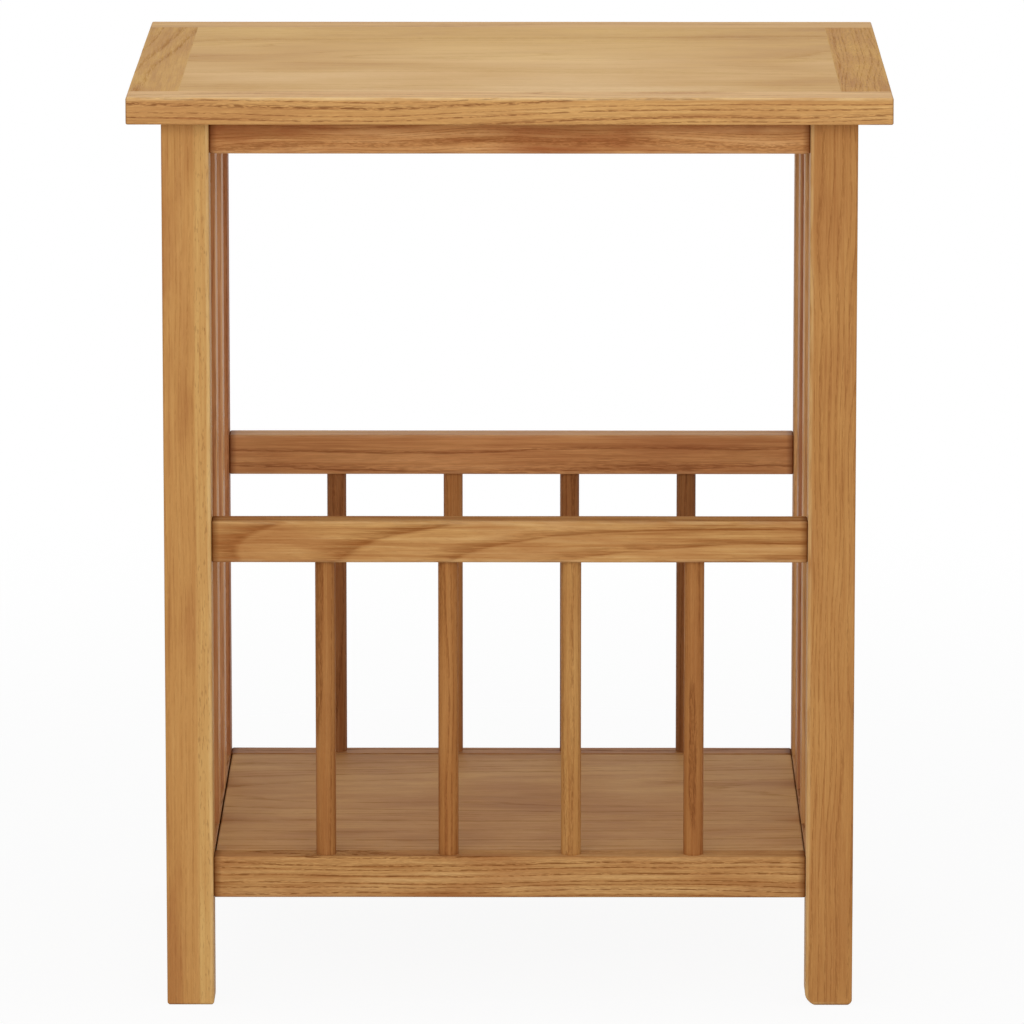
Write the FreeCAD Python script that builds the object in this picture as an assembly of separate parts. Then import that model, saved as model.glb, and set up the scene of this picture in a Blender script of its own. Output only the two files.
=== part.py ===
import FreeCAD, Part
import os
from FreeCAD import Vector, Rotation, Placement

# Magazine table in solid oak: a framed top on four square legs, a shelf near the floor, and a rack of
# round spindles at the front and the back of the shelf. Millimetres, +Z up, the front faces -Y, and the
# origin is on the floor under the middle of the top.

# Overall size
top_length = 450.0
top_depth = 350.0
table_height = 550.0

# Top: a field panel framed by two long lippings and two end boards
top_thickness = 16.0
lipping_width = 28.0
end_board_width = 30.0
top_edge_radius = 1.2
top_tongue_thickness = 5.0
top_tongue_length = 6.0
groove_stop = 10.0

# Legs, set in from the edges of the top
side_overhang = 20.0
front_overhang = 15.0
leg_width = 28.0
leg_edge_radius = 2.0
foot_bevel = 1.5

# Rails between the legs
rail_thickness = 18.0
apron_height = 20.0
rack_rail_height = 25.0
rack_rail_level = 269.0
shelf_rail_height = 25.0
shelf_rail_level = 65.0
rail_edge_radius = 1.5

# Tenons on the rail ends, and the wood left between two mortises that meet in one leg
tenon_thickness = 8.0
tenon_shoulder = 3.0
mortise_wall = 1.5
glue_room = 0.5

# Shelf panel, tongued along its underside into the shelf rails
shelf_panel_thickness = 15.0
shelf_panel_drop = 0.5
shelf_panel_end_gap = 1.5
shelf_panel_edge_gap = 0.4
shelf_panel_edge_radius = 0.6
shelf_tongue_thickness = 5.0
shelf_tongue_length = 6.0

# Rack spindles in blind sockets
spindle_count = 4
spindle_diameter = 12.0
spindle_end_bevel = 0.8
socket_clearance = 0.2
socket_floor = 2.5

# Side slats, tenoned into the side rails and flush with their inner faces
slat_count = 2
slat_width = 30.0
slat_thickness = 12.0
slat_seat_radius = 0.5
slat_edge_radius = 1.5
slat_tenon_thickness = 6.0
slat_tenon_length = 10.0
slat_tenon_shoulder = 3.0

# Screws up through the side top rails into the top
screw_diameter = 4.0
screw_head_diameter = 8.0
screw_head_height = 2.8
screw_web = 12.0
screw_cover = 6.0
screw_point = 3.0
screw_clearance = 0.25
counterbore_clearance = 0.5
recess_width = 1.0
recess_length = 4.0
recess_depth = 1.5

# One overrun serves every cut that leaves a face
overrun = 1.0

# Places worked out from the sizes above
top_underside = table_height - top_thickness
field_half_length = top_length / 2 - end_board_width
field_half_depth = top_depth / 2 - lipping_width
leg_outer_x = top_length / 2 - side_overhang
leg_outer_y = top_depth / 2 - front_overhang
leg_inner_x = leg_outer_x - leg_width
leg_inner_y = leg_outer_y - leg_width
long_rail_y = leg_outer_y - leg_width / 2
side_rail_x = leg_inner_x + rail_thickness / 2
long_rail_inner_y = long_rail_y - rail_thickness / 2
tenon_length = leg_width / 2 - tenon_thickness / 2 - mortise_wall - glue_room
apron_level = top_underside - apron_height
shelf_top = shelf_rail_level + shelf_rail_height
shelf_panel_top = shelf_top - shelf_panel_drop
shelf_panel_underside = shelf_panel_top - shelf_panel_thickness
shelf_tongue_top = shelf_panel_underside + shelf_tongue_thickness
socket_depth = shelf_top - shelf_tongue_top - socket_floor
spindle_gap = (2 * leg_inner_x - spindle_count * spindle_diameter) / (spindle_count + 1)
slat_gap = (2 * leg_inner_y - slat_count * slat_width) / (slat_count + 1)
slat_x = leg_inner_x + slat_thickness / 2

# Each rail height with its level: underside and height
apron_band = (apron_level, apron_height)
rack_band = (rack_rail_level, rack_rail_height)
shelf_band = (shelf_rail_level, shelf_rail_height)


def block(x_ends, y_ends, z_ends):
    """A plain block between two ends along each axis, given in either order."""
    spans = [(min(ends), max(ends)) for ends in (x_ends, y_ends, z_ends)]
    sizes = [high - low for low, high in spans]
    return Part.makeBox(*sizes, Vector(*[low for low, high in spans]))


def rounded_section(width, height, radii):
    """A rectangle about the origin whose four corners, from lower left and round to the right,
    have the given radii. A radius of zero leaves the corner square."""
    corner_signs = [(-1, -1), (1, -1), (1, 1), (-1, 1)]
    edges = []
    points = []
    for (side, level), radius in zip(corner_signs, radii):
        corner = Vector(side * width / 2, level * height / 2, 0)
        along_width = corner - Vector(side * radius, 0, 0)
        along_height = corner - Vector(0, level * radius, 0)
        centre = corner - Vector(side * radius, level * radius, 0)
        if side == level:
            first, last = along_height, along_width
        else:
            first, last = along_width, along_height
        points.append((first, last, centre, corner, radius))
    for index, (first, last, centre, corner, radius) in enumerate(points):
        if radius > 0:
            outward = (corner - centre).normalize()
            edges.append(Part.Arc(first, centre + outward * radius, last).toShape())
        following = points[(index + 1) % len(points)][0]
        edges.append(Part.makeLine(last, following))
    return Part.Face(Part.Wire(edges))


def upright_bar(width, depth, length, radii):
    """A bar along Z from the floor, with its section about the Z axis."""
    return rounded_section(width, depth, radii).extrude(Vector(0, 0, length))


def bar_along_x(thickness, height, length, radii):
    """A bar along X about the origin: thickness along Y, height along Z."""
    bar = upright_bar(thickness, height, length, radii)
    bar.translate(Vector(0, 0, -length / 2))
    bar.Placement = Placement(Vector(), Rotation(Vector(1, 1, 1), 120)).multiply(bar.Placement)
    return bar


def bar_along_y(thickness, height, length, radii):
    """A bar along Y about the origin: thickness along X, height along Z."""
    bar = upright_bar(thickness, height, length, radii)
    bar.translate(Vector(0, 0, -length / 2))
    bar.Placement = Placement(Vector(), Rotation(Vector(1, 0, 0), 90)).multiply(bar.Placement)
    return bar


def spindle_places():
    """Spindle centres along X, with equal clear gaps between the legs and the spindles."""
    pitch = spindle_diameter + spindle_gap
    first = -leg_inner_x + spindle_gap + spindle_diameter / 2
    return [first + index * pitch for index in range(spindle_count)]


def slat_places():
    """Slat centres along Y, with equal clear gaps between the legs and the slats."""
    first = -leg_inner_y + slat_gap + slat_width / 2
    return [first + index * (slat_width + slat_gap) for index in range(slat_count)]


def screw_places():
    """Screw centres along Y: the middle of each gap beside a slat."""
    first = -leg_inner_y + slat_gap / 2
    return [first + index * (slat_width + slat_gap) for index in range(slat_count + 1)]


def long_tenon(side_x, side_y, band, extra):
    """End of a front or back rail inside a leg; extra lengthens it into the mortise's glue room."""
    level, height = band
    half = tenon_thickness / 2
    x_ends = (side_x * leg_inner_x, side_x * (leg_inner_x + tenon_length + extra))
    y_ends = (side_y * long_rail_y - half, side_y * long_rail_y + half)
    z_ends = (level + tenon_shoulder, level + height - tenon_shoulder)
    return block(x_ends, y_ends, z_ends)


def side_tenon(side_x, side_y, band, extra):
    """End of a side rail inside a leg; extra lengthens it into the mortise's glue room."""
    level, height = band
    half = tenon_thickness / 2
    x_ends = (side_x * side_rail_x - half, side_x * side_rail_x + half)
    y_ends = (side_y * leg_inner_y, side_y * (leg_inner_y + tenon_length + extra))
    z_ends = (level + tenon_shoulder, level + height - tenon_shoulder)
    return block(x_ends, y_ends, z_ends)


def slat_tenon(side_x, slat_y, seat, upward, extra):
    """End of a slat inside a side rail, from the rail face at height seat."""
    half_thickness = slat_tenon_thickness / 2
    half_width = slat_width / 2 - slat_tenon_shoulder
    x_ends = (side_x * slat_x - half_thickness, side_x * slat_x + half_thickness)
    y_ends = (slat_y - half_width, slat_y + half_width)
    z_ends = (seat, seat + upward * (slat_tenon_length + extra))
    return block(x_ends, y_ends, z_ends)


def screw_bore(side_x, screw_y):
    """Clearance hole from the counterbore in a side top rail up into the top."""
    radius = screw_diameter / 2 + screw_clearance
    start = Vector(side_x * side_rail_x, screw_y, apron_level - overrun)
    length = apron_height + overrun + top_thickness - screw_cover
    bore = Part.makeCylinder(radius, length, start)
    wide_radius = screw_head_diameter / 2 + counterbore_clearance
    wide_length = apron_height - screw_web + overrun
    return bore.fuse(Part.makeCylinder(wide_radius, wide_length, start))


def all_screw_bores():
    """Every screw hole, as one cutter."""
    bores = [screw_bore(side_x, screw_y) for side_x in (-1, 1) for screw_y in screw_places()]
    return Part.makeCompound(bores)


def top_blank():
    """The whole top as one slab with every outer edge rounded."""
    x_ends = (-top_length / 2, top_length / 2)
    y_ends = (-top_depth / 2, top_depth / 2)
    slab = block(x_ends, y_ends, (top_underside, table_height))
    return slab.makeFillet(top_edge_radius, slab.Edges)


def top_tongue_levels():
    """Underside and top of the tongues at the middle of the top's thickness."""
    middle = table_height - top_thickness / 2
    half = top_tongue_thickness / 2
    return middle - half, middle + half


def top_lipping(side_y):
    """Long board along one edge of the top, with a stopped groove in its inner edge."""
    half_length = top_length / 2
    y_ends = (side_y * field_half_depth, side_y * top_depth / 2)
    board = top_blank().common(block((-half_length, half_length), y_ends, (top_underside, table_height)))
    groove_half = half_length - groove_stop
    groove_bottom = field_half_depth + top_tongue_length + glue_room
    groove_y = (side_y * (field_half_depth - overrun), side_y * groove_bottom)
    groove = block((-groove_half, groove_half), groove_y, top_tongue_levels())
    return board.cut(groove).cut(all_screw_bores())


def top_end_board(side_x):
    """Cross-grained board at one end of the top, tongued into both lippings and grooved for the field."""
    x_ends = (side_x * field_half_length, side_x * top_length / 2)
    y_ends = (-field_half_depth, field_half_depth)
    board = top_blank().common(block(x_ends, y_ends, (top_underside, table_height)))
    groove_bottom = field_half_length + top_tongue_length + glue_room
    groove_x = (side_x * (field_half_length - overrun), side_x * groove_bottom)
    board = board.cut(block(groove_x, y_ends, top_tongue_levels()))
    tongue_x = (side_x * groove_bottom, side_x * (top_length / 2 - groove_stop))
    for side_y in (-1, 1):
        tongue_y = (side_y * field_half_depth, side_y * (field_half_depth + top_tongue_length))
        board = board.fuse(block(tongue_x, tongue_y, top_tongue_levels()))
    return board.cut(all_screw_bores()).removeSplitter()


def top_field_panel():
    """The middle of the top, tongued into the lippings and the end boards."""
    x_ends = (-field_half_length, field_half_length)
    y_ends = (-field_half_depth, field_half_depth)
    tongue_x = field_half_length + top_tongue_length
    tongue_y = field_half_depth + top_tongue_length
    panel = block(x_ends, y_ends, (top_underside, table_height))
    panel = panel.fuse(block((-tongue_x, tongue_x), y_ends, top_tongue_levels()))
    panel = panel.fuse(block(x_ends, (-tongue_y, tongue_y), top_tongue_levels()))
    return panel.cut(all_screw_bores()).removeSplitter()


def leg(side_x, side_y):
    """Square leg with rounded arrises, a bevelled foot and blind mortises for its five rails."""
    centre = Vector(side_x * (leg_outer_x - leg_width / 2), side_y * (leg_outer_y - leg_width / 2), 0)
    post = upright_bar(leg_width, leg_width, top_underside, [leg_edge_radius] * 4)
    half = leg_width / 2
    foot = block((-half, half), (-half, half), (0, top_underside))
    foot_edges = [edge for edge in foot.Edges if edge.BoundBox.ZMax < foot_bevel]
    post = post.common(foot.makeChamfer(foot_bevel, foot_edges))
    post.translate(centre)
    for band in (apron_band, rack_band, shelf_band):
        post = post.cut(long_tenon(side_x, side_y, band, glue_room))
    for band in (apron_band, shelf_band):
        post = post.cut(side_tenon(side_x, side_y, band, glue_room))
    return post


def long_rail(side_y, band, radii):
    """Rail along the front or the back between two legs, with a tenon on each end."""
    level, height = band
    rail = bar_along_x(rail_thickness, height, 2 * leg_inner_x, radii)
    rail.translate(Vector(0, side_y * long_rail_y, level + height / 2))
    for side_x in (-1, 1):
        rail = rail.fuse(long_tenon(side_x, side_y, band, 0))
    return rail.removeSplitter()


def spindle_socket(place_x, side_y, mouth, upward):
    """Blind round socket for one spindle end, cut from the rail face at height mouth."""
    radius = spindle_diameter / 2 + socket_clearance
    start = Vector(place_x, side_y * long_rail_y, mouth - upward * overrun)
    return Part.makeCylinder(radius, socket_depth + overrun, start, Vector(0, 0, upward))


def apron(side_y):
    """Rail under the front or back edge of the top, rounded along its lower arrises only."""
    return long_rail(side_y, apron_band, [rail_edge_radius, rail_edge_radius, 0, 0])


def rack_rail(side_y):
    """Rail over the spindles, with a socket in its underside for each of them."""
    rail = long_rail(side_y, rack_band, [rail_edge_radius] * 4)
    for place_x in spindle_places():
        rail = rail.cut(spindle_socket(place_x, side_y, rack_rail_level, 1))
    return rail


def shelf_rail(side_y):
    """Rail under the spindles, sharp where the shelf panel meets it and grooved for the panel's tongue."""
    outer_left = 0 if side_y > 0 else rail_edge_radius
    outer_right = rail_edge_radius if side_y > 0 else 0
    radii = [rail_edge_radius, rail_edge_radius, outer_right, outer_left]
    rail = long_rail(side_y, shelf_band, radii)
    for place_x in spindle_places():
        rail = rail.cut(spindle_socket(place_x, side_y, shelf_top, -1))
    groove_bottom = long_rail_inner_y + shelf_tongue_length + glue_room
    groove_y = (side_y * (long_rail_inner_y - overrun), side_y * groove_bottom)
    groove_z = (shelf_panel_underside, shelf_tongue_top)
    return rail.cut(block((-leg_inner_x, leg_inner_x), groove_y, groove_z))


def shelf_panel():
    """Shelf board with eased upper arrises, tongued front and back and free at its two ends."""
    half_length = leg_inner_x - shelf_panel_end_gap
    half_depth = long_rail_inner_y - shelf_panel_edge_gap
    radii = [0, 0, shelf_panel_edge_radius, shelf_panel_edge_radius]
    panel = bar_along_x(2 * half_depth, shelf_panel_thickness, 2 * half_length, radii)
    panel.translate(Vector(0, 0, shelf_panel_underside + shelf_panel_thickness / 2))
    tongue_half = long_rail_inner_y + shelf_tongue_length
    tongue_z = (shelf_panel_underside, shelf_tongue_top)
    tongues = block((-half_length, half_length), (-tongue_half, tongue_half), tongue_z)
    return panel.fuse(tongues).removeSplitter()


def spindle(place_x, side_y):
    """Round rod from the bottom of its lower socket to the bottom of its upper one, with bevelled ends."""
    low = shelf_top - socket_depth
    length = rack_rail_level + socket_depth - low
    rod = Part.makeCylinder(spindle_diameter / 2, length, Vector(place_x, side_y * long_rail_y, low))
    rim_edges = [edge for edge in rod.Edges if len(edge.Vertexes) == 1]
    return rod.makeChamfer(spindle_end_bevel, rim_edges)


def side_rail(side_x, band, radii, slat_seat, slat_upward):
    """Rail between a front and a back leg, flush with their inner faces and mortised for the slats."""
    level, height = band
    rail = bar_along_y(rail_thickness, height, 2 * leg_inner_y, radii)
    rail.translate(Vector(side_x * side_rail_x, 0, level + height / 2))
    for side_y in (-1, 1):
        rail = rail.fuse(side_tenon(side_x, side_y, band, 0))
    for slat_y in slat_places():
        rail = rail.cut(slat_tenon(side_x, slat_y, slat_seat, slat_upward, glue_room))
    return rail.removeSplitter()


def side_top_rail(side_x):
    """Side rail under the top, barely eased over the slats, with the screw holes that hold the top down."""
    radii = [slat_seat_radius, slat_seat_radius, 0, 0]
    return side_rail(side_x, apron_band, radii, apron_level, 1).cut(all_screw_bores())


def side_bottom_rail(side_x):
    """Side rail at shelf level, its upper arrises barely eased where the slats stand on it."""
    radii = [rail_edge_radius, rail_edge_radius, slat_seat_radius, slat_seat_radius]
    return side_rail(side_x, shelf_band, radii, shelf_top, -1)


def slat(side_x, slat_y):
    """Flat upright slat from the side bottom rail to the side top rail, with a tenon on each end."""
    board = upright_bar(slat_thickness, slat_width, apron_level - shelf_top, [slat_edge_radius] * 4)
    board.translate(Vector(side_x * slat_x, slat_y, shelf_top))
    board = board.fuse(slat_tenon(side_x, slat_y, shelf_top, -1, 0))
    board = board.fuse(slat_tenon(side_x, slat_y, apron_level, 1, 0))
    return board.removeSplitter()


def top_fixing_screw(side_x, screw_y):
    """Pan-head wood screw with a cross recess, its head up against the bottom of the counterbore."""
    screw_x = side_x * side_rail_x
    seat = top_underside - screw_web
    head_face = seat - screw_head_height
    shank_length = screw_web + top_thickness - screw_cover - screw_point - glue_room
    shank_end = Vector(screw_x, screw_y, seat + shank_length)
    head_radius = screw_head_diameter / 2
    head = Part.makeCylinder(head_radius, screw_head_height, Vector(screw_x, screw_y, head_face))
    shank = Part.makeCylinder(screw_diameter / 2, shank_length, Vector(screw_x, screw_y, seat))
    point = Part.makeCone(screw_diameter / 2, 0, screw_point, shank_end)
    screw = head.fuse(shank).fuse(point)
    recess_z = (head_face - overrun, head_face + recess_depth)
    for length, width in ((recess_length, recess_width), (recess_width, recess_length)):
        x_ends = (screw_x - length / 2, screw_x + length / 2)
        y_ends = (screw_y - width / 2, screw_y + width / 2)
        screw = screw.cut(block(x_ends, y_ends, recess_z))
    return screw.removeSplitter()


def table_pieces():
    """Every piece of the table by name."""
    pieces = {"top_field_panel": top_field_panel()}
    for end, side_y in (("front", -1), ("back", 1)):
        pieces[f"top_{end}_lipping"] = top_lipping(side_y)
        pieces[f"{end}_apron"] = apron(side_y)
        pieces[f"rack_{end}_rail"] = rack_rail(side_y)
        pieces[f"shelf_{end}_rail"] = shelf_rail(side_y)
        for number, place_x in enumerate(spindle_places(), start=1):
            pieces[f"{end}_spindle_{number}"] = spindle(place_x, side_y)
    for hand, side_x in (("left", -1), ("right", 1)):
        pieces[f"top_{hand}_end_board"] = top_end_board(side_x)
        pieces[f"{hand}_top_rail"] = side_top_rail(side_x)
        pieces[f"{hand}_bottom_rail"] = side_bottom_rail(side_x)
        for number, slat_y in enumerate(slat_places(), start=1):
            pieces[f"{hand}_slat_{number}"] = slat(side_x, slat_y)
        for end, side_y in (("front", -1), ("back", 1)):
            pieces[f"leg_{end}_{hand}"] = leg(side_x, side_y)
    pieces["shelf_panel"] = shelf_panel()
    screws = [top_fixing_screw(side_x, screw_y) for side_x in (-1, 1) for screw_y in screw_places()]
    pieces["top_fixing_screws"] = Part.makeCompound(screws)
    return pieces


os.makedirs("parts", exist_ok=True)
for node, shape in table_pieces().items():
    shape.exportStep(f"parts/{node}.step")
    print(node, len(shape.Solids), shape.isValid(), round(shape.Volume))
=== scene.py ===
import math

import bpy
import numpy as np
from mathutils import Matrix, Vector


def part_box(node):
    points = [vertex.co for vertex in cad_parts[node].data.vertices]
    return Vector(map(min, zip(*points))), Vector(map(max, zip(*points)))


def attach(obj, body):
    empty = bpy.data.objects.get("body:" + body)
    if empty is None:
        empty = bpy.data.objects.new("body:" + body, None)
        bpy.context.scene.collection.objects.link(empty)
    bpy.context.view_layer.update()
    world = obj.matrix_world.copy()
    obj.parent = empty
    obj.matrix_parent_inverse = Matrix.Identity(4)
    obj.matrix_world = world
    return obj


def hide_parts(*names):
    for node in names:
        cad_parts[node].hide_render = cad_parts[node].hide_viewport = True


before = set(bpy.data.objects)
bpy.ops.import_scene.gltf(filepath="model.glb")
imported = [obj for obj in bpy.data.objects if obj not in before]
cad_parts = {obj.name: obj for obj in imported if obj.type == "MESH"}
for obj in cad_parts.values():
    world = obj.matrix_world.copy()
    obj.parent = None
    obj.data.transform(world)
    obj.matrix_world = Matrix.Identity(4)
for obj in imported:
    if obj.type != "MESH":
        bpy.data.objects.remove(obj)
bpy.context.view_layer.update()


# Legs: four square posts of solid oak, planed and sanded, with softly rounded arrises and feet. Every rail
# is tenoned into them. The front legs' inner arrises are painted paler, a painted highlight with a little
# wear, the front right leg's inner face has a painted sheen, one front foot has its inner corner taken off,
# and they are finished, like all the wood, in a clear satin lacquer.
mm = 0.001
leg_arris = 1.4 * mm
foot_round = 1.5 * mm
leg_top_ease = 0.8 * mm
blunt_foot_inner = 6.0 * mm
blunt_foot_outer = 2.8 * mm
short_end_darkening = 1.2 * mm
grain_x, grain_y, grain_z = 0, 1, 2


def bar_points(low, high, along, arris, ends, seed, arc_steps=6, sanding=0.14, end_grain_and_shade_reach=short_end_darkening):
    """Grid of points of a bar: rows are sections carried along the grain, columns go round a section.

    A section is a rectangle whose four corners are quarter circles. Their radius swells and shrinks a
    little along the bar, as sanding leaves it. Near an end each side draws in on a blunt curve by its
    own amount, which rounds the end's arris or takes a corner off, and the rows then close in flat rings
    on the middle of the end. Ends hold both ends' amounts: one for all sides, or four in the order
    across low, across high, up low, up high. Also returns two marks: how far a point is on an arris, and
    how far it is in the darker part of an end, which fades out over the given reach. That darkening is
    end grain, and also painted shade in the rails' shoulders, where the reach is long, and under the top.
    """
    sharpest_end = 0.01 * mm
    sharpest_arris = 0.03 * mm
    sharpest_darkened_end = 0.3 * mm
    row_spacing, fewest_rows = 12 * mm, 8
    arris_margin, margin_share = 1.2 * mm, 0.4
    sanding_wave, turn_per_seed = 150 * mm, 1.7
    bluntness = 1.5
    end_steps, end_crowding = 8, 1.6
    arris_rows = 5
    cap_shares = 0.1, 0.45, 0.8
    cap_rows = len(cap_shares)
    rounded_rows = cap_rows + arris_rows

    across, up = (along + 1) % 3, (along + 2) % 3
    length = high[along] - low[along]
    first, last = (np.broadcast_to(np.maximum(end, sharpest_end), 4) for end in ends)
    step = np.linspace(0, 1, end_steps) ** end_crowding
    body = np.linspace(0, 1, max(fewest_rows, int(length / row_spacing)))[1:-1]
    start, stop = first.max(), length - last.max()
    place = np.sort(np.concatenate([
        np.zeros(cap_rows), start * step, [end_grain_and_shade_reach], start + body * (stop - start),
        [length - end_grain_and_shade_reach], length - last.max() * step[::-1], np.full(cap_rows, length)]))

    def draw_in(distance, amount):
        outside = np.clip(1 - distance[:, None] / amount, 0, 1)
        return amount * (1 - (1 - outside ** bluntness) ** (1 / bluntness))

    inset = draw_in(place, first) + draw_in(length - place, last)
    closing = np.ones(len(place))
    closing[:cap_rows] = cap_shares
    closing[-cap_rows:] = cap_shares[::-1]
    wave = 1 + sanding * np.sin(2 * math.pi * place / sanding_wave + turn_per_seed * seed)

    across_ends = low[across] + inset[:, 0], high[across] - inset[:, 1]
    up_ends = low[up] + inset[:, 2], high[up] - inset[:, 3]
    middle_across, middle_up = sum(across_ends) / 2, sum(up_ends) / 2
    sweep = np.linspace(0, math.pi / 2, arc_steps)
    columns_across, columns_up, on_arris = [], [], []
    for corner, (far_across, far_up) in enumerate(((0, 0), (1, 0), (1, 1), (0, 1))):
        drawn = np.minimum(inset[:, far_across], inset[:, 2 + far_up])
        radius = np.maximum(wave * arris[corner] - drawn, sharpest_arris)
        centre_across = across_ends[far_across] - (2 * far_across - 1) * radius
        centre_up = up_ends[far_up] - (2 * far_up - 1) * radius
        angle = math.pi * (1 + corner / 2) + sweep
        arc_across = centre_across[:, None] + radius[:, None] * np.cos(angle)
        arc_up = centre_up[:, None] + radius[:, None] * np.sin(angle)
        room = np.abs(centre_up - middle_up), np.abs(centre_across - middle_across)
        before = np.minimum(arris_margin, margin_share * room[corner % 2])[:, None]
        after = np.minimum(arris_margin, margin_share * room[1 - corner % 2])[:, None]
        columns_across += [arc_across[:, :1] + before * math.sin(angle[0]), arc_across,
                           arc_across[:, -1:] - after * math.sin(angle[-1])]
        columns_up += [arc_up[:, :1] - before * math.cos(angle[0]), arc_up,
                       arc_up[:, -1:] + after * math.cos(angle[-1])]
        on_arris += [0.0] + [1.0] * arc_steps + [0.0]
    points = np.empty((len(place), len(on_arris), 3))
    for axis, middle, columns in ((across, middle_across, columns_across), (up, middle_up, columns_up)):
        points[:, :, axis] = middle[:, None] + (np.hstack(columns) - middle[:, None]) * closing[:, None]
    points[:, :, along] = (low[along] + place)[:, None]

    # The arris mark: a little wear, and mostly a painted highlight in the material.
    wear_and_highlight_rows = np.tile(on_arris, (len(place), 1))
    wear_and_highlight_rows[:cap_rows], wear_and_highlight_rows[-cap_rows:] = 0, 0
    wear_and_highlight_rows[cap_rows:rounded_rows], wear_and_highlight_rows[-rounded_rows:-cap_rows] = 1, 1
    # Darker ends: end grain, and painted shade in the rails' shoulders and at the legs' tops under the top.
    end_grain_and_painted_shade = np.zeros_like(wear_and_highlight_rows)
    for distance, amount in ((place, first), (length - place, last)):
        if amount.max() > sharpest_darkened_end:
            end_grain_and_painted_shade = np.maximum(end_grain_and_painted_shade, np.clip(1 - distance / end_grain_and_shade_reach, 0, 1)[:, None])
    return points, {"arris_wear_and_highlight": wear_and_highlight_rows, "end_grain_and_painted_shade": end_grain_and_painted_shade}


def grid_mesh(name, points, marks):
    """Closed mesh of a grid: four-sided faces between neighbouring rows and columns, one face on each end.

    A point's normal is its step round the section crossed with its step along the bar, so wide flats
    stay flat up to the rounded arrises.
    """
    rows, columns = points.shape[:2]
    index = np.arange(rows * columns).reshape(rows, columns)
    beside = np.roll(index, -1, axis=1)
    quads = np.stack([index[:-1], beside[:-1], beside[1:], index[1:]], axis=-1).reshape(-1, 4)
    mesh = bpy.data.meshes.new(name)
    mesh.from_pydata(points.reshape(-1, 3).tolist(), [],
                     quads.tolist() + [index[0, ::-1].tolist(), index[-1].tolist()])
    around = np.roll(points, -1, axis=1) - np.roll(points, 1, axis=1)
    ahead = np.vstack([points[1:2] - points[:1], points[2:] - points[:-2], points[-1:] - points[-2:-1]])
    normals = np.cross(around, ahead)
    normals[0], normals[-1] = normals[1], normals[-2]
    normals /= np.maximum(np.linalg.norm(normals, axis=2, keepdims=True), 1e-12)
    mesh.shade_smooth()
    mesh.normals_split_custom_set_from_vertices(normals.reshape(-1, 3).tolist())
    for mark, amount in marks.items():
        attribute = mesh.attributes.new(mark, "FLOAT", "POINT")
        attribute.data.foreach_set("value", amount.ravel().astype(np.float32))
    return mesh


def srgb(red, green, blue):
    """Colour as seen on a screen, 0 to 255, turned into the linear values that the shaders use."""
    seen = np.clip(np.array([red, green, blue]) / 255, 0, 1)
    linear = np.where(seen <= 0.04045, seen / 12.92, ((seen + 0.055) / 1.055) ** 2.4)
    return tuple(linear) + (1.0,)


def node_maker(tree):
    """Empties a node tree and gives the function that adds its nodes.

    That function makes one node, sets each named socket to a value or links it to another node's output,
    and returns one of the new node's own outputs.
    """
    tree.nodes.clear()

    def add(kind, sockets, output=0, **settings):
        made = tree.nodes.new("ShaderNode" + kind)
        for key, value in settings.items():
            setattr(made, key, value)
        for key, value in sockets.items():
            if isinstance(value, bpy.types.NodeSocket):
                tree.links.new(value, made.inputs[key])
            else:
                made.inputs[key].default_value = value
        return made.outputs[output] if len(made.outputs) else made

    return add


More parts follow.
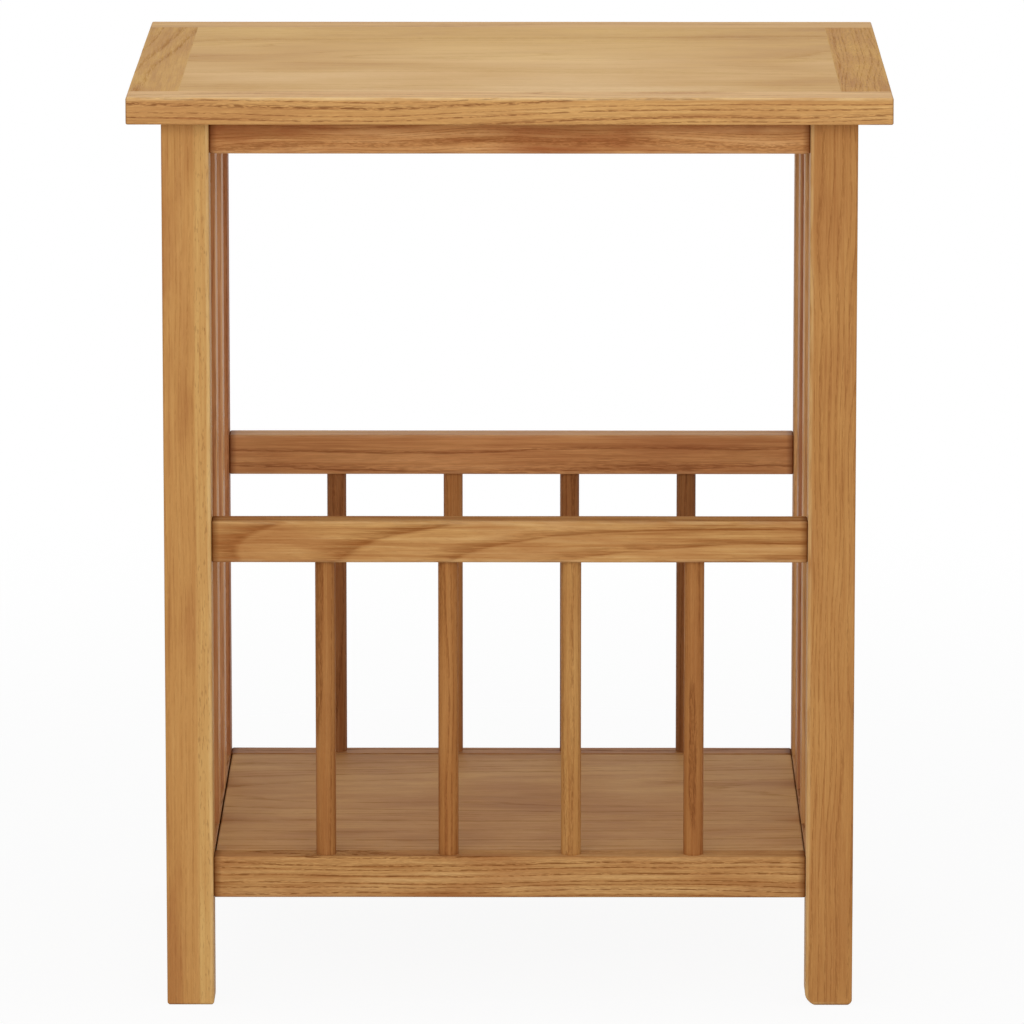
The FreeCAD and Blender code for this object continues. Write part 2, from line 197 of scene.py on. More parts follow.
def oak(name, low, high, grain, colour, heart, seed, lean=(0, 0, 0), ring=3.5, start=0.0, waver=1.0,
        figure=0.5, pores=0.6, dash=(0.8, 18.0), streak=(3.2, 150.0), flecks=0.3, cloud=0.5,
        patch=(26.0, 120.0), blush=0.3, contrast=1.0, fibre_tone=0.75, rough=0.5, gloss=0.08, edge=0.15,
        ends=0.5, sapwood_and_sheen=None):
    """Lacquered solid oak, as cut from a log. Sizes are in millimetres from the board's middle.

    The growth rings are circles round the heart, which leans a little to the board, bent by slow noise
    and a ring's width apart. Each ring starts with a dark band of open pores, dashes along the grain, and
    closes in smooth late wood. Streaks, fine fibres, short ray flecks, slow clouds in patches and a
    reddish blush vary the tone. A size or a bend is given across and along the grain, a bend with its
    amount as well. All of it is solid, so that end grain and side grain agree. Arrises are paler by the
    edge amount, as a little wear and a painted highlight. Ends are darker by the ends amount, as end grain
    and as painted shade in the rails' shoulders and under the top. A board may have a paler strip, sapwood
    on the front left leg and a painted sheen on light-catching faces of some other boards: its side, its
    depth from the middle, how softly it starts, its amount and its colour.
    """
    material = bpy.data.materials.new(name)
    material.use_nodes = True
    tree = material.node_tree
    add = node_maker(tree)
    wood_colour = np.array(colour)
    deep = srgb(*wood_colour * (1 - contrast * np.array([0.18, 0.28, 0.37])))
    golden = srgb(*wood_colour)
    pale = srgb(*wood_colour * (1 + contrast * np.array([0.09, 0.15, 0.24])))
    pore = srgb(*wood_colour * (0.58, 0.44, 0.30))
    russet = srgb(*wood_colour * (0.85, 0.73, 0.68))
    rubbed_and_highlight_colour = srgb(*wood_colour * (1.2, 1.42, 1.8))
    fibre_bend = 40.0, 260.0, 2.2
    slow_ring_bend = 80.0, 360.0, 8.0 * waver
    quick_ring_bend = 14.0, 110.0, 0.4 + 0.7 * waver
    fibre_size = 0.9, 40.0
    ray_size = 0.7, 5.0
    blush_size = 17.0, 85.0
    rubbing_size = 3.0, 22.0
    shift_per_seed = 733.0
    straight = (0, 0, 0)

    def sum_of(value, addend, times=1.0):
        return add("Math", {0: value, 1: times, 2: addend}, operation="MULTIPLY_ADD")

    def product(value, factor):
        return add("Math", {0: value, 1: factor}, operation="MULTIPLY")

    def noise(place, wide, long, detail=2.0, output=0):
        stretched = add("VectorMath", {0: place, 1: (1 / wide, 1 / wide, 1 / long)}, operation="MULTIPLY")
        return add("TexNoise", {
            "Vector": stretched, "Scale": 1.0, "Detail": detail, "Roughness": 0.55}, output)

    def ramp(value, *stops):
        made = tree.nodes.new("ShaderNodeValToRGB")
        tree.links.new(value, made.inputs[0])
        while len(made.color_ramp.elements) < len(stops):
            made.color_ramp.elements.new(1.0)
        for element, (position, level) in zip(made.color_ramp.elements, stops):
            element.position = position
            element.color = level if isinstance(level, tuple) else (level, level, level, 1.0)
        return made.outputs[0]

    def mix(share, first, second):
        return add("Mix", {0: share, 6: first, 7: second}, output=2, data_type="RGBA")

    def turn_to_grain(drift):
        axis = Vector(drift)
        axis[grain] = 1.0
        return axis.rotation_difference(Vector((0, 0, 1))).to_matrix()

    def along_log(origin, drift):
        turn = turn_to_grain(drift)
        moved = -(turn @ origin)
        moved.z += shift_per_seed * seed
        return add("Mapping", {"Vector": add("TexCoord", {}, output=3), "Scale": (1 / mm,) * 3,
                               "Rotation": turn.to_euler(), "Location": moved})

    def bend(place, wide, long, amount):
        sway = noise(place, wide, long, output=1)
        drift = add("VectorMath", {0: sway, 1: (0.5,) * 3}, operation="SUBTRACT")
        reach = 2 * amount
        return add("VectorMath", {0: drift, 1: (reach, reach, 0), 2: place}, operation="MULTIPLY_ADD")

    centre = (Vector(low) + Vector(high)) / 2 / mm
    board = along_log(centre, straight)
    fibres = bend(board, *fibre_bend)
    log = along_log(centre + Vector(heart), lean)
    wood = bend(bend(log, *slow_ring_bend), *quick_ring_bend)
    flat = add("VectorMath", {0: wood, 1: (1, 1, 0)}, operation="MULTIPLY")
    radius = add("VectorMath", {0: flat}, output=1, operation="LENGTH")
    uneven = add("TexNoise", {"W": radius, "Scale": 0.11, "Detail": 1.0}, noise_dimensions="1D")
    phase = sum_of(radius, sum_of(uneven, start, 1.6 * waver), 1 / ring)
    share = add("Math", {0: phase}, operation="FRACT")
    number = add("Math", {0: phase}, operation="FLOOR")
    year = add("TexWhiteNoise", {"W": number}, noise_dimensions="1D")

    early = ramp(share, (0.0, 0.25), (0.06, 1.0), (0.22, 0.55), (0.42, 0.12), (0.8, 0.04), (0.96, 0.06),
                 (1.0, 0.25))
    late = ramp(share, (0.0, 0.5), (0.05, 0.0), (0.45, 0.15), (0.9, 1.0), (1.0, 0.5))
    dash_wide, dash_long = dash
    dashes = ramp(noise(fibres, *dash, detail=1.0), (0.49, 0.0), (0.57, 1.0))
    fine_dashes = ramp(noise(fibres, 0.6 * dash_wide, 0.45 * dash_long, 0.0), (0.55, 0.0), (0.63, 1.0))
    open_pores = product(add("Math", {0: dashes, 1: product(fine_dashes, 0.8)}, operation="MAXIMUM"),
                         sum_of(early, sum_of(year, 0.06, 0.14), 0.85))
    streaks = noise(fibres, *streak)
    fibre = noise(fibres, *fibre_size, detail=3.0)
    patches = noise(log, *patch)
    ray = ramp(noise(fibres, *ray_size, detail=1.0), (0.60, 0.0), (0.70, 1.0))

    tone = sum_of(early, 0.60, -0.46 * figure)
    tone = sum_of(late, tone, -0.12 * figure)
    tone = sum_of(sum_of(year, -0.5), tone, 0.14 * figure)
    tone = sum_of(sum_of(streaks, -0.5), tone, 1.3 * figure + 0.15)
    tone = sum_of(sum_of(fibre, -0.5), tone, fibre_tone)
    tone = sum_of(sum_of(patches, -0.5), tone, cloud)
    surface = ramp(tone, (0.0, deep), (0.5, golden), (1.0, pale))
    reddened = ramp(noise(log, *blush_size, detail=3.0), (0.42, 0.0), (0.66, blush))
    surface = mix(reddened, surface, russet)
    fleck_share = product(ray, 0.4 * flecks)
    # A paler strip: real sapwood on the front left leg, and on some other boards a painted sheen on faces
    # that catch the light.
    if sapwood_and_sheen:
        depth, softness = sapwood_and_sheen["depth"], sapwood_and_sheen["softness"]
        sapwood_and_sheen_bend = 9.0, 160.0, 1.3 * min(softness, 1.2)
        swayed = bend(board, *sapwood_and_sheen_bend)
        outward = turn_to_grain(straight) @ Vector(sapwood_and_sheen["side"])
        reach = add("VectorMath", {0: swayed, 1: outward}, output=1, operation="DOT_PRODUCT")
        sapwood_and_sheen_share = add("MapRange", {
            0: reach, 1: depth - softness, 2: depth + softness, 3: 0.0, 4: sapwood_and_sheen["amount"]},
            interpolation_type="SMOOTHSTEP")
        mottle = add("Math", {0: tone, 1: 1.6, 2: -0.4}, operation="MULTIPLY_ADD", use_clamp=True)
        surface = mix(sapwood_and_sheen_share, surface, mix(mottle, golden, srgb(*sapwood_and_sheen["colour"])))
        open_pores = product(open_pores, sum_of(sapwood_and_sheen_share, 1.0, -0.65))
        fleck_share = product(fleck_share, sum_of(sapwood_and_sheen_share, 0.2, 0.8))
    surface = mix(fleck_share, surface, pore)
    surface = mix(product(open_pores, pores), surface, pore)
    # Paler arrises: a little wear, and a painted highlight on the arrises that catch the light.
    arris_wear_and_highlight = add("Attribute", {}, output=2, attribute_name="arris_wear_and_highlight")
    wear_and_highlight_share = ramp(noise(log, *rubbing_size), (0.25, 0.0), (0.60, edge))
    surface = mix(product(arris_wear_and_highlight, wear_and_highlight_share), surface, rubbed_and_highlight_colour)
    # Darker ends: end grain, and painted shade in the rails' shoulders and at the legs' tops under the top.
    end_grain_and_painted_shade = add("Attribute", {}, output=2, attribute_name="end_grain_and_painted_shade")
    surface = mix(product(end_grain_and_painted_shade, ends), surface, pore)

    dullness = sum_of(open_pores, sum_of(fibre, rough - 0.05, 0.10), 0.25)
    relief = sum_of(open_pores, sum_of(fibre, product(late, 0.25), 0.5), -1.0)
    bump = add("Bump", {"Strength": 0.35, "Distance": 0.12 * mm, "Height": relief})
    shader = add("BsdfPrincipled", {
        "Base Color": surface, "Roughness": dullness, "Normal": bump, "IOR": 1.47,
        "Specular IOR Level": gloss})
    add("OutputMaterial", {"Surface": shader})
    return material


def oak_piece(node, points, marks, slot, material):
    """One board in place of its CAD node, riding with the table."""
    piece = bpy.data.objects.new(node + "_wood", grid_mesh(node + "_wood", points, marks))
    bpy.context.scene.collection.objects.link(piece)
    piece.data.materials.append(material)
    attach(piece, "root")
    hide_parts(node)


leg_feet = {"leg_front_right": (blunt_foot_inner, blunt_foot_outer, foot_round, foot_round)}
left_leg_sapwood = dict(side=(1, 0, 0), depth=5.2, softness=1.2, amount=0.9, colour=(210, 168, 102))
# The front right leg's inner face is painted paler, a painted sheen where it catches the light.
right_leg_inner_painted_sheen = dict(side=(-1, 0, 0), depth=13.75, softness=0.2, amount=0.95, colour=(238, 200, 146))
leg_looks = dict(figure=0.4, pores=0.55, dash=(0.8, 8.0), flecks=0.5, rough=0.55, gloss=0.18, edge=0.05)
leg_woods = {
    "leg_front_left": dict(colour=(188, 135, 74), heart=(-78, 30, 0), lean=(0.009, 0.005, 0), ring=3.0,
                           seed=1, figure=0.22, pores=0.2, flecks=1.0, cloud=0.8, blush=0.5, edge=0.45,
                           sapwood_and_sheen=left_leg_sapwood),
    "leg_front_right": dict(colour=(181, 127, 68), heart=(-55, 48, 0), lean=(0.006, 0.010, 0), ring=2.6,
                            seed=13, waver=2.2, figure=0.45, pores=0.35, dash=(0.6, 8.0),
                            streak=(1.8, 60.0), edge=0.45, sapwood_and_sheen=right_leg_inner_painted_sheen),
    "leg_back_left": dict(colour=(174, 114, 69), heart=(-60, -40, 0), lean=(0.005, 0.007, 0), ring=3.2,
                          seed=3),
    "leg_back_right": dict(colour=(196, 145, 90), heart=(66, -30, 0), lean=(0.004, 0.009, 0), ring=3.0,
                           seed=4),
}
for node, wood in leg_woods.items():
    leg_low, leg_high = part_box(node)
    ends = leg_feet.get(node, foot_round), leg_top_ease
    points, marks = bar_points(leg_low, leg_high, grain_z, [leg_arris] * 4, ends, wood["seed"])
    # Only the inner arrises keep the paler mark, a painted highlight where they catch the light.
    inner_side = np.abs(points[:, :, 0]) < abs(leg_low.x + leg_high.x) / 2
    marks["arris_wear_and_highlight"] = marks["arris_wear_and_highlight"] * inner_side
    leg_oak = oak(node + "_oak", leg_low, leg_high, grain_z, **(leg_looks | wood))
    oak_piece(node, points, marks, "oak_leg", leg_oak)


# Side rails: at each side one rail under the top and one at shelf level, flush with the legs' inner faces.
# Oak, tenoned into the front and back legs; the slats stand between them.
let_in = 0.3 * mm
rail_arris = 1.2 * mm
slat_seat = 0.4 * mm
shoulder_ease = 1.4 * mm
shoulders = shoulder_ease, shoulder_ease
right_leg_low, right_leg_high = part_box("leg_front_right")
leg_inner_x = right_leg_low.x
leg_inner_y = -right_leg_high.y
side_rail_looks = dict(colour=(176, 122, 70), lean=(0.01, 0, 0.014), ring=3.4, figure=0.55, pores=0.7)
side_rail_woods = {
    "left_top_rail": dict(heart=(40, 0, 50), seed=5),
    "right_top_rail": dict(heart=(-46, 0, 44), seed=6),
    "left_bottom_rail": dict(heart=(-30, 0, -60), seed=7),
    "right_bottom_rail": dict(heart=(24, 0, -66), seed=8),
}
for node, wood in side_rail_woods.items():
    rail_low, rail_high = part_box(node)
    rail_low.y, rail_high.y = -leg_inner_y - let_in, leg_inner_y + let_in
    low_arris, high_arris = (rail_arris, slat_seat) if "bottom" in node else (slat_seat, rail_arris)
    arrises = [low_arris, high_arris, high_arris, low_arris]
    points, marks = bar_points(rail_low, rail_high, grain_y, arrises, shoulders, wood["seed"])
    rail_oak = oak(node + "_oak", rail_low, rail_high, grain_y, **(side_rail_looks | wood))
    oak_piece(node, points, marks, "oak_rail", rail_oak)


# Slats: two flat upright oak boards in each side, tenoned into the side rails above and below.
# Their inner faces are flush with the rails and the legs, and carry a paler painted sheen.
slat_arris = 1.0 * mm
hidden_end = 0.1 * mm
hidden_ends = hidden_end, hidden_end
slat_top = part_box("left_top_rail")[0].z
slat_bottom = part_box("left_bottom_rail")[1].z
# The slats' inner faces: a painted sheen, paler than the wood.
left_slat_painted_sheen = dict(side=(1, 0, 0), depth=5.5, softness=0.2, amount=1.0, colour=(240, 190, 126))
right_slat_painted_sheen = dict(side=(-1, 0, 0), depth=5.5, softness=0.2, amount=1.0, colour=(236, 186, 122))
slat_looks = dict(lean=(0.009, 0.009, 0), ring=3.0, pores=0.5, rough=0.5, gloss=0.25)
slat_woods = {
    "left_slat_1": dict(colour=(177, 116, 66), heart=(50, 30, 0), seed=9, sapwood_and_sheen=left_slat_painted_sheen),
    "left_slat_2": dict(colour=(185, 127, 79), heart=(54, -24, 0), seed=10, sapwood_and_sheen=left_slat_painted_sheen),
    "right_slat_1": dict(colour=(188, 134, 78), heart=(-48, 26, 0), seed=11, sapwood_and_sheen=right_slat_painted_sheen),
    "right_slat_2": dict(colour=(156, 98, 57), heart=(-58, -20, 0), seed=12, sapwood_and_sheen=right_slat_painted_sheen),
}
for node, wood in slat_woods.items():
    slat_low, slat_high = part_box(node)
    slat_low.z, slat_high.z = slat_bottom - let_in, slat_top + let_in
    points, marks = bar_points(slat_low, slat_high, grain_z, [slat_arris] * 4, hidden_ends, wood["seed"])
    slat_oak = oak(node + "_oak", slat_low, slat_high, grain_z, **(slat_looks | wood))
    oak_piece(node, points, marks, "oak_slat", slat_oak)


# Long rails: at the front and at the back an apron under the top, a rack rail over the spindles and a shelf
# rail below them. Oak, tenoned into the legs and set a little behind their faces. Their shoulders are
# painted darker for a few millimetres, as painted shade where the legs shade them.
panel_joint = 0.3 * mm
# How far the painted shade reaches along a rail from its shoulders.
shoulder_painted_shade = 5.0 * mm
round_arrises = [rail_arris] * 4
# The rack back rail's top face is painted paler, a painted sheen.
rack_back_top_painted_sheen = dict(side=(0, 0, 1), depth=12.1, softness=0.3, amount=0.9, colour=(226, 182, 118))
long_rail_looks = dict(figure=0.6, pores=0.8, ends=0.9)
long_rail_woods = {
    "front_apron": dict(colour=(194, 138, 83), heart=(0, 20, 60), lean=(0, 0.02, -0.03), ring=2.5, seed=23,
                        waver=2.5, figure=0.75, pores=0.45, dash=(0.6, 6.0), blush=1.2, cloud=1.4,
                        contrast=1.3),
    "back_apron": dict(colour=(176, 122, 70), heart=(0, -40, 50), lean=(0, 0.02, 0.02), ring=3.8, seed=14),
    "rack_front_rail": dict(colour=(195, 146, 89), heart=(0, 109.9, -28.2), lean=(0, -0.0718, -0.1406),
                            ring=4.0, start=0.45, waver=0.15, seed=23, figure=1.0, pores=0.4, blush=0.5,
                            contrast=1.25, rough=0.8, gloss=0.02),
    "rack_back_rail": dict(colour=(195, 137, 83), heart=(0, 70, -30), lean=(0, 0.012, 0.010), ring=5.0,
                           seed=35, waver=1.0, figure=0.75, pores=0.6, dash=(0.7, 14.0), blush=0.5, gloss=0.2,
                           sapwood_and_sheen=rack_back_top_painted_sheen),
    "shelf_front_rail": dict(colour=(193, 145, 90), heart=(0, 8, -90), lean=(0, 0.004, 0.006), ring=3.4,
                             seed=17, waver=1.3, figure=0.75, pores=0.9, dash=(0.65, 7.0), contrast=1.2,
                             blush=0.6, rough=0.75, gloss=0.03, edge=0.0),
    "shelf_back_rail": dict(colour=(174, 122, 72), heart=(0, -20, -70), lean=(0, 0.008, 0.006), ring=4.2,
                            seed=18),
}
rail_arrises = {
    "shelf_front_rail": [rail_arris, rail_arris, panel_joint, rail_arris],
    "shelf_back_rail": [rail_arris, rail_arris, rail_arris, panel_joint],
}
for node, wood in long_rail_woods.items():
    rail_low, rail_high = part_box(node)
    rail_low.x, rail_high.x = -leg_inner_x - let_in, leg_inner_x + let_in
    arrises = rail_arrises.get(node, round_arrises)
    points, marks = bar_points(rail_low, rail_high, grain_x, arrises, shoulders, wood["seed"],
                               end_grain_and_shade_reach=shoulder_painted_shade)
    rail_oak = oak(node + "_oak", rail_low, rail_high, grain_x, **(long_rail_looks | wood))
    oak_piece(node, points, marks, "oak_rail", rail_oak)


# Shelf panel: the floor of the rack, one oak panel tongued into the front and back shelf rails.
# It stops short of the side rails, which leaves a narrow dark gap at each end, wider at the left.
panel_arris = 0.6 * mm
panel_edge_gap = 0.4 * mm
panel_left_gap = 0.8 * mm
panel_right_gap = 0.4 * mm
panel_ends = panel_arris, panel_arris
panel_sanding_seed = 19
panel_low, panel_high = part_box("shelf_panel")
panel_low.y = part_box("shelf_front_rail")[1].y + panel_edge_gap
panel_high.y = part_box("shelf_back_rail")[0].y - panel_edge_gap
panel_low.x, panel_high.x = panel_left_gap - leg_inner_x, leg_inner_x - panel_right_gap
points, marks = bar_points(panel_low, panel_high, grain_x, [panel_arris] * 4, panel_ends, panel_sanding_seed)
panel_oak = oak("shelf_panel_oak", panel_low, panel_high, grain_x, colour=(194, 146, 88), heart=(0, 30, -90),
                lean=(0, 0.02, 0.02), ring=7.0, seed=52, waver=1.5, streak=(14.0, 90.0), figure=0.3,
                pores=0.3, cloud=1.1, patch=(60.0, 110.0), fibre_tone=0.4, rough=0.6, gloss=0.2)
oak_piece("shelf_panel", points, marks, "oak_shelf", panel_oak)


# Spindles: four round oak rods at the front and four at the back, let into the shelf rails and the rack
# rails. They are turned from straight-grained stock, so the pores run up them as short dashes.
rod_arc_steps = 9
spindle_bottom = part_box("shelf_front_rail")[1].z
spindle_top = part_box("rack_front_rail")[0].z
spindle_looks = dict(lean=(0.014, 0.01, 0), ring=2.6, pores=0.5, dash=(0.5, 6.0), figure=0.65)
spindle_woods = {
    "front_spindle_1": dict(colour=(168, 114, 62), heart=(40, 55, 0), seed=36),
    "front_spindle_2": dict(colour=(169, 113, 60), heart=(29, 55, 0), seed=48),
    "front_spindle_3": dict(colour=(187, 136, 77), heart=(18, 55, 0), seed=32),
    "front_spindle_4": dict(colour=(166, 110, 59), heart=(7, 55, 0), seed=27),
    "back_spindle_1": dict(colour=(150, 98, 56), heart=(-4, 55, 0), seed=24),
    "back_spindle_2": dict(colour=(174, 119, 67), heart=(-15, 55, 0), seed=25),
    "back_spindle_3": dict(colour=(154, 103, 59), heart=(-26, 55, 0), seed=26),
    "back_spindle_4": dict(colour=(146, 97, 55), heart=(-37, 55, 0), seed=28),
}
for node, wood in spindle_woods.items():
    rod_low, rod_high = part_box(node)
    rod_radius = (rod_high.x - rod_low.x) / 2
    rod_low.z, rod_high.z = spindle_bottom - let_in, spindle_top + let_in
    points, marks = bar_points(rod_low, rod_high, grain_z, [rod_radius] * 4, hidden_ends, wood["seed"],
                               arc_steps=rod_arc_steps, sanding=0.0)
    marks["arris_wear_and_highlight"] = marks["arris_wear_and_highlight"] * 0
    spindle_oak = oak(node + "_oak", rod_low, rod_high, grain_z, **(spindle_looks | wood))
    oak_piece(node, points, marks, "oak_spindle", spindle_oak)


# Top: a wide middle field, framed by a lipping along the front and back and a cross-grained board at each
# end. Oak, tongued and glued; the joints are planed flush, so that only the grain shows them. The field has
# a painted sheen that grows paler towards the front, the front lipping's top face a painted highlight, the
# back lipping a paler, yellower top face, and only the upper arrises are painted paler, a painted highlight.
joint_ease = 0.1 * mm
top_round = 0.9 * mm
joint_end = joint_ease, joint_ease, 0, 0
front_lipping_end = top_round, 0, top_round, top_round
back_lipping_end = 0, top_round, top_round, top_round
# A painted sheen on the field, paler towards the front.
field_painted_sheen = dict(side=(0, -1, 0), depth=0.0, softness=130.0, amount=0.48, colour=(228, 194, 150))
# A painted highlight on the front lipping's top face and upper arris.
front_lipping_painted_highlight = dict(side=(0, 0, 1), depth=7.6, softness=0.3, amount=0.9, colour=(226, 186, 124))
# The back lipping's top face is paler and yellower.
back_lipping_pale_top = dict(side=(0, 0, 1), depth=7.6, softness=0.3, amount=1.0, colour=(217, 171, 98))
front_low, front_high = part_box("top_front_lipping")
back_low, back_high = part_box("top_back_lipping")
left_low, left_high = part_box("top_left_end_board")
right_low, right_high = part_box("top_right_end_board")
field_low, field_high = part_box("top_field_panel")
for board_low, board_high in ((left_low, left_high), (right_low, right_high), (field_low, field_high)):
    board_low.y, board_high.y = front_high.y, back_low.y
field_low.x, field_high.x = left_high.x, right_low.x
top_boards = {
    "top_field_panel": (field_low, field_high, grain_x, [joint_ease] * 4, joint_end, "oak_field"),
    "top_front_lipping": (front_low, front_high, grain_x, [top_round, joint_ease, joint_ease, top_round],
                          front_lipping_end, "oak_lipping"),
    "top_back_lipping": (back_low, back_high, grain_x, [joint_ease, top_round, top_round, joint_ease],
                         back_lipping_end, "oak_lipping"),
    "top_left_end_board": (left_low, left_high, grain_y, [top_round, top_round, joint_ease, joint_ease],
                           joint_end, "oak_end_board"),
    "top_right_end_board": (right_low, right_high, grain_y, [joint_ease, joint_ease, top_round, top_round],
                            joint_end, "oak_end_board"),
}
top_woods = {
    "top_field_panel": dict(colour=(203, 158, 88), heart=(0, 12, -70), lean=(0, 0.03, 0.03), ring=12.0,
                            seed=53, waver=2.5, figure=0.2, pores=0.2, dash=(0.6, 10.0),
                            streak=(40.0, 140.0), contrast=0.8, fibre_tone=0.45, rough=0.56, gloss=0.25,
                            cloud=1.6, patch=(70.0, 190.0), blush=0.15, sapwood_and_sheen=field_painted_sheen),
    "top_front_lipping": dict(colour=(201, 150, 87), heart=(0, 16, -90), lean=(0, 0.005, 0.006), ring=3.6,
                              seed=49, waver=1.5, figure=0.7, pores=0.85, dash=(0.65, 7.0), contrast=1.1,
                              rough=0.52, gloss=0.25, edge=0.4, sapwood_and_sheen=front_lipping_painted_highlight),
    "top_back_lipping": dict(colour=(198, 149, 88), heart=(0, -16, -84), lean=(0, 0.007, 0.005), ring=3.8,
                             seed=33, waver=0.9, figure=0.65, pores=0.8, dash=(0.65, 12.0), rough=0.52,
                             gloss=0.25, sapwood_and_sheen=back_lipping_pale_top),
    "top_left_end_board": dict(colour=(194, 145, 72), heart=(34, 0, -60), lean=(0.14, 0, 0.03), ring=6.0,
                               seed=53, figure=0.5, pores=0.2, streak=(6.0, 90.0), rough=0.58, gloss=0.2),
    "top_right_end_board": dict(colour=(193, 142, 66), heart=(-70, 0, -24), lean=(0.01, 0, 0.01), ring=3.4,
                                seed=71, waver=1.5, figure=0.45, pores=0.3, flecks=0.9, streak=(6.0, 90.0),
                                rough=0.58, gloss=0.2),
}
for node, (board_low, board_high, grain, arrises, end, slot) in top_boards.items():
    wood = top_woods[node]
    points, marks = bar_points(board_low, board_high, grain, arrises, (end, end), wood["seed"])
    # Only the upper arrises keep the paler mark, a painted highlight where they catch the light.
    upper_half = points[:, :, 2] > (board_low.z + board_high.z) / 2
    marks["arris_wear_and_highlight"] = marks["arris_wear_and_highlight"] * upper_half
    oak_piece(node, points, marks, slot, oak(node + "_oak", board_low, board_high, grain, **wood))


# Top fixing screws: zinc-plated steel pan-head screws, driven up through the side top rails into the top.
# The CAD solids stay, with a plated steel finish.
zinc_dark, zinc_bright = srgb(150, 152, 150), srgb(196, 198, 194)
zinc_grains_per_metre = 900.0
steel = bpy.data.materials.new("zinc_plated_steel")
steel.use_nodes = True
add = node_maker(steel.node_tree)
steel_noise = add("TexNoise", {
    "Vector": add("TexCoord", {}, output=3), "Scale": zinc_grains_per_metre, "Detail": 3.0})
steel_colour = add("Mix", {0: steel_noise, 6: zinc_dark, 7: zinc_bright}, output=2, data_type="RGBA")
steel_rough = add("MapRange", {0: steel_noise, 3: 0.25, 4: 0.45})
add("OutputMaterial", {"Surface": add("BsdfPrincipled", {
    "Base Color": steel_colour, "Roughness": steel_rough, "Metallic": 1.0})})
for material_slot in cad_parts["top_fixing_screws"].material_slots:
    material_slot.material = steel


# Floor: a round sheet of pale studio floor, flat and just below the feet. It keeps the table's soft shadow
# and fades out into the white background towards its rim.
floor_radius = 1.6
floor_drop = 0.2 * mm
floor_turns, floor_rings = 96, 24
floor_glow = 0.93
fade_start, fade_end = 0.45, 1.5
ring_radius = np.linspace(0.0, 1.0, floor_rings + 1)[1:] ** 1.5 * floor_radius
floor_angle = np.linspace(0, 2 * math.pi, floor_turns, endpoint=False)
floor_points = np.stack([
    np.outer(ring_radius, np.cos(floor_angle)), np.outer(ring_radius, np.sin(floor_angle)),
    np.full((floor_rings, floor_turns), -floor_drop)], axis=-1)
floor_index = np.arange(floor_rings * floor_turns).reshape(floor_rings, floor_turns)
floor_beside = np.roll(floor_index, -1, axis=1)
floor_quads = np.stack([floor_index[:-1], floor_index[1:], floor_beside[1:], floor_beside[:-1]], axis=-1)
floor_mesh = bpy.data.meshes.new("studio_floor")
floor_mesh.from_pydata(floor_points.reshape(-1, 3).tolist(), [],
                       floor_quads.reshape(-1, 4).tolist() + [floor_index[0].tolist()])
floor = bpy.data.objects.new("studio_floor", floor_mesh)
bpy.context.scene.collection.objects.link(floor)
floor_material = bpy.data.materials.new("pale_studio_floor")
floor_material.use_nodes = True
add = node_maker(floor_material.node_tree)


def seen_rays(add):
    """1 for rays that show a surface, straight, mirrored or through glass, and 0 for those that light it."""
    rays = add("LightPath", {}).node.outputs
    shown = add("Math", {0: rays["Is Camera Ray"], 1: rays["Is Glossy Ray"]}, operation="MAXIMUM")
    return add("Math", {0: shown, 1: rays["Is Transmission Ray"]}, operation="MAXIMUM")


seen = seen_rays(add)
floor_shown = add("MixShader", {
    0: add("Math", {0: seen, 1: floor_glow}, operation="MULTIPLY"),
    1: add("BsdfDiffuse", {"Color": (0.82, 0.82, 0.81, 1)}),
    2: add("Emission", {"Color": (1, 1, 1, 1), "Strength": 1.0})})
floor_reach = add("VectorMath", {0: add("TexCoord", {}, output=3)}, output=1, operation="LENGTH")
floor_fade = add("MapRange", {0: floor_reach, 1: fade_start, 2: fade_end, 3: 0.0, 4: 1.0},
                 interpolation_type="SMOOTHSTEP")
add("OutputMaterial", {"Surface": add("MixShader", {
    0: add("Math", {0: floor_fade, 1: seen}, operation="MULTIPLY"),
    1: floor_shown,
    2: add("BsdfTransparent", {})})})
floor_mesh.materials.append(floor_material)


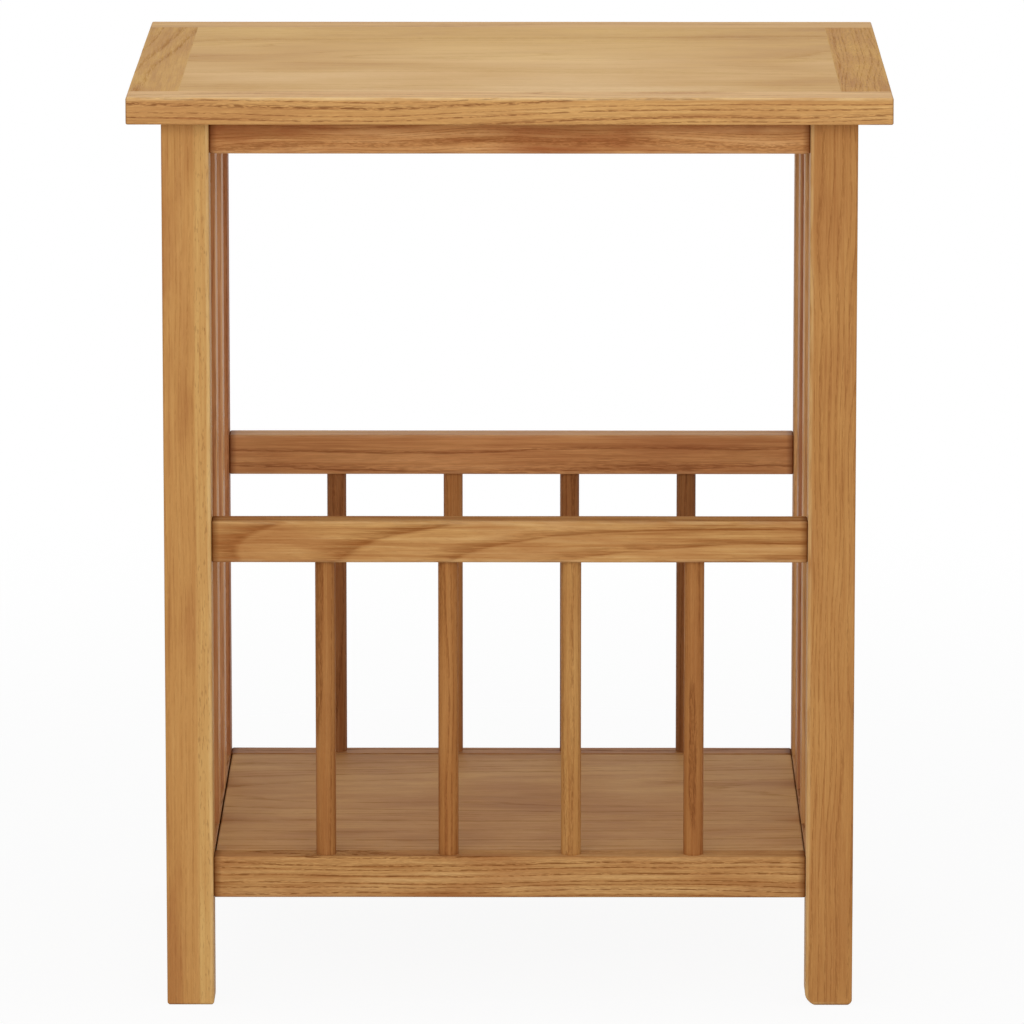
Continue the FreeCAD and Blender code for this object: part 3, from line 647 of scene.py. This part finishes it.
# Studio light: a large soft lamp in front on the left, a weaker one on the right and a faint one overhead.
# They stand in a white room, which looks pure white and lights the table less brightly than that.
room_light = 0.66


def soft_lamp(name, place, aim, width, height, power):
    """Rectangular lamp, in metres and watts, turned from its place to the point that it aims at."""
    lamp_data = bpy.data.lights.new(name, "AREA")
    lamp_data.shape = "RECTANGLE"
    lamp_data.size, lamp_data.size_y, lamp_data.energy = width, height, power
    lamp = bpy.data.objects.new(name, lamp_data)
    lamp.location = place
    lamp.visible_camera = False
    lamp.rotation_euler = (Vector(aim) - Vector(place)).to_track_quat("-Z", "Y").to_euler()
    bpy.context.scene.collection.objects.link(lamp)


lamp_aim = (0, 0, 0.30)
soft_lamp("front_left_lamp", place=(-0.75, -2.9, 1.5), aim=lamp_aim, width=1.4, height=1.6, power=20)
soft_lamp("front_right_lamp", place=(0.85, -2.9, 1.2), aim=lamp_aim, width=1.4, height=1.6, power=14)
soft_lamp("overhead_lamp", place=(-0.02, -0.12, 1.15), aim=(-0.02, -0.12, 0.55), width=0.6, height=0.5,
          power=0.7)

room = bpy.data.worlds.new("white_room")
bpy.context.scene.world = room
room.use_nodes = True
add = node_maker(room.node_tree)
add("OutputWorld", {"Surface": add("MixShader", {
    0: seen_rays(add),
    1: add("Background", {"Color": (1, 1, 1, 1), "Strength": room_light}),
    2: add("Background", {"Color": (1, 1, 1, 1), "Strength": 1.0})})})


# Camera: a long lens about five metres in front of the table, a little above it and looking slightly down.
# Its place, angles in degrees and focal length in pixels were fitted to the photo's corner points.
camera_place = (0.018548, -5.136719, 1.232009)
camera_down, camera_left = 10.6008, 0.1971
photo_width, focal_pixels = 1024, 8545.319
sensor_width = 36.0
camera_data = bpy.data.cameras.new("photo_camera")
camera_data.sensor_width = sensor_width
camera_data.lens = sensor_width * focal_pixels / photo_width
camera = bpy.data.objects.new("photo_camera", camera_data)
camera.location = camera_place
camera.rotation_euler = (math.radians(90 - camera_down), 0, math.radians(camera_left))
bpy.context.scene.collection.objects.link(camera)
bpy.context.scene.camera = camera
bpy.context.scene.view_settings.view_transform = "Standard"
